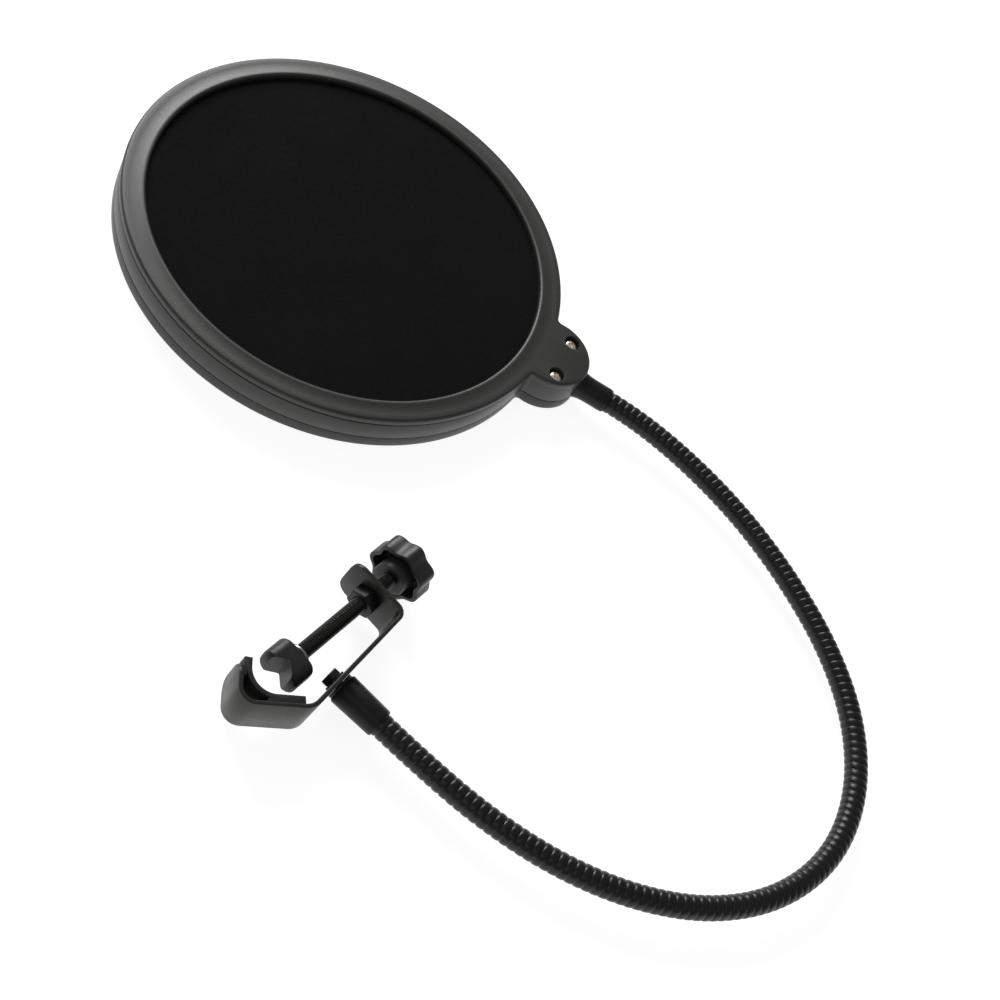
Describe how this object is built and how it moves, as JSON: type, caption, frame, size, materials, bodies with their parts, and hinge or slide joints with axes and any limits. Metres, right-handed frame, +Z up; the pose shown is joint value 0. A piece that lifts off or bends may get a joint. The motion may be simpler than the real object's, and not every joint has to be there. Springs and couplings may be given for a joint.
{
  "type": "pop filter",
  "caption": "Microphone pop filter: round screened hoop with a screwed tab, a bendable ribbed neck, and a V-jaw screw clamp with a lobed knob for a stand.",
  "frame": {"origin": "centre of the footprint of the whole filter, on the table it lies on", "axes": "+Z up, along the axis of the hoop and of the tube that the clamp grips; +X along the longest way, from the hoop towards the bend of the neck; +Y from the clamp towards the hoop"},
  "size_m": [0.3119, 0.2571, 0.0205],
  "materials": {
    "hoop_plastic": "satin moulded charcoal plastic",
    "inner_plastic": "plain moulded black plastic",
    "screen_fabric": "fine woven black nylon, matt",
    "nickel_screws": "nickel-plated steel, warm",
    "ferrule_plastic": "black moulded plastic, soft sheen",
    "neck_steel": "black coated steel spiral, semi-gloss",
    "insert_brass": "turned brass",
    "black_hardware": "black-oxide steel",
    "bracket_paint": "glossy black paint on steel strip",
    "liner_rubber": "matt black rubber",
    "pad_rubber": "black rubber, slight sheen",
    "screw_steel": "black-oxide threaded steel",
    "knob_plastic": "satin black moulded plastic",
    "zinc_steel": "zinc-plated steel"
  },
  "bodies": {
    "clamp": {"clamp_bracket": "bracket_paint", "jaw_liner": "liner_rubber", "arm_nut": "black_hardware"},
    "screw_carrier": {"thrust_washer": "zinc_steel"},
    "screw": {"clamp_screw": "screw_steel", "clamp_knob": "knob_plastic", "knob_insert": "black_hardware", "retaining_clip": "zinc_steel"},
    "pad": {"pressure_pad": "pad_rubber"},
    "neck_base": {"neck_bolt": "black_hardware", "bolt_washer": "black_hardware", "lock_washer": "black_hardware", "ferrule_insert": "insert_brass", "lower_ferrule": "ferrule_plastic", "neck_end_lower": "neck_steel"},
    "neck_01": {"neck_link_01": "neck_steel"},
    "neck_02": {"neck_link_02": "neck_steel"},
    "neck_03": {"neck_link_03": "neck_steel"},
    "neck_04": {"neck_link_04": "neck_steel"},
    "neck_05": {"neck_link_05": "neck_steel"},
    "neck_06": {"neck_link_06": "neck_steel"},
    "neck_07": {"neck_link_07": "neck_steel"},
    "neck_08": {"neck_link_08": "neck_steel"},
    "neck_09": {"neck_link_09": "neck_steel"},
    "neck_10": {"neck_link_10": "neck_steel"},
    "neck_11": {"neck_link_11": "neck_steel"},
    "neck_12": {"neck_link_12": "neck_steel"},
    "neck_13": {"neck_link_13": "neck_steel"},
    "head": {"neck_end_upper": "neck_steel", "upper_ferrule": "ferrule_plastic", "front_hoop": "hoop_plastic", "rear_hoop": "hoop_plastic", "front_screen": "screen_fabric", "rear_screen": "screen_fabric", "front_screen_ring": "inner_plastic", "rear_screen_ring": "inner_plastic", "spacer_ring": "inner_plastic", "tab_screws": "nickel_screws"}
  },
  "joints": [
    {"name": "neck_swivel", "type": "hinge", "parent": "clamp", "child": "neck_base", "pos_m": [-0.0098, -0.1034, 0.00962], "axis": [0.97, -0.2329, -0.0698], "range_deg": [0, 150]},
    {"name": "neck_bend_01", "type": "hinge", "parent": "neck_base", "child": "neck_01", "pos_m": [0.01833, -0.11015, 0.0076], "axis": [0, 0, 1], "range_deg": [-20, 4]},
    {"name": "neck_lift_02", "type": "hinge", "parent": "neck_01", "child": "neck_02", "pos_m": [0.04337, -0.11593, 0.0076], "axis": [-0.225, -0.9744, 0], "range_deg": [0, 25]},
    {"name": "neck_bend_03", "type": "hinge", "parent": "neck_02", "child": "neck_03", "pos_m": [0.06901, -0.11777, 0.0076], "axis": [0, 0, 1], "range_deg": [-20, 4]},
    {"name": "neck_bend_04", "type": "hinge", "parent": "neck_03", "child": "neck_04", "pos_m": [0.09449, -0.11446, 0.0076], "axis": [0, 0, 1], "range_deg": [-20, 4]},
    {"name": "neck_lift_05", "type": "hinge", "parent": "neck_04", "child": "neck_05", "pos_m": [0.11842, -0.10508, 0.0076], "axis": [0.3649, -0.9311, 0], "range_deg": [0, 25]},
    {"name": "neck_bend_06", "type": "hinge", "parent": "neck_05", "child": "neck_06", "pos_m": [0.13808, -0.08853, 0.0076], "axis": [0, 0, 1], "range_deg": [-20, 4]},
    {"name": "neck_bend_07", "type": "hinge", "parent": "neck_06", "child": "neck_07", "pos_m": [0.1503, -0.06592, 0.0076], "axis": [0, 0, 1], "range_deg": [-20, 4]},
    {"name": "neck_bend_08", "type": "hinge", "parent": "neck_07", "child": "neck_08", "pos_m": [0.15227, -0.0403, 0.0076], "axis": [0, 0, 1], "range_deg": [-20, 4]},
    {"name": "neck_lift_09", "type": "hinge", "parent": "neck_08", "child": "neck_09", "pos_m": [0.14467, -0.01575, 0.0076], "axis": [0.9553, 0.2957, 0], "range_deg": [0, 25]},
    {"name": "neck_bend_10", "type": "hinge", "parent": "neck_09", "child": "neck_10", "pos_m": [0.12968, 0.00512, 0.0076], "axis": [0, 0, 1], "range_deg": [-20, 4]},
    {"name": "neck_bend_11", "type": "hinge", "parent": "neck_10", "child": "neck_11", "pos_m": [0.11016, 0.02185, 0.0076], "axis": [0, 0, 1], "range_deg": [-20, 4]},
    {"name": "neck_lift_12", "type": "hinge", "parent": "neck_11", "child": "neck_12", "pos_m": [0.08844, 0.03558, 0.0076], "axis": [0.5344, 0.8453, 0], "range_deg": [0, 25]},
    {"name": "neck_bend_13", "type": "hinge", "parent": "neck_12", "child": "neck_13", "pos_m": [0.06466, 0.04533, 0.0076], "axis": [0, 0, 1], "range_deg": [-20, 4]},
    {"name": "neck_bend_14", "type": "hinge", "parent": "neck_13", "child": "head", "pos_m": [0.03962, 0.05111, 0.0076], "axis": [0, 0, 1], "range_deg": [-20, 4]},
    {"name": "clamp_travel", "type": "slide", "parent": "clamp", "child": "screw_carrier", "axis": [0.3088, 0.9511, -0.0055], "range_m": [-0.0048, 0.016]},
    {"name": "knob_turn", "type": "hinge", "parent": "screw_carrier", "child": "screw", "pos_m": [-0.01871, -0.08598, 0.01051], "axis": [0.3088, 0.9511, -0.0055], "range_deg": [-2160, 7200]},
    {"name": "pad_swivel", "type": "hinge", "parent": "screw_carrier", "child": "pad", "pos_m": [-0.0252, -0.10595, 0.01063], "axis": [0.3088, 0.9511, -0.0055], "range_deg": [-45, 45]}
  ],
  "couplings": [
    {"joint": "knob_turn", "follows": "clamp_travel", "rad_per_m": 7854}
  ]
}
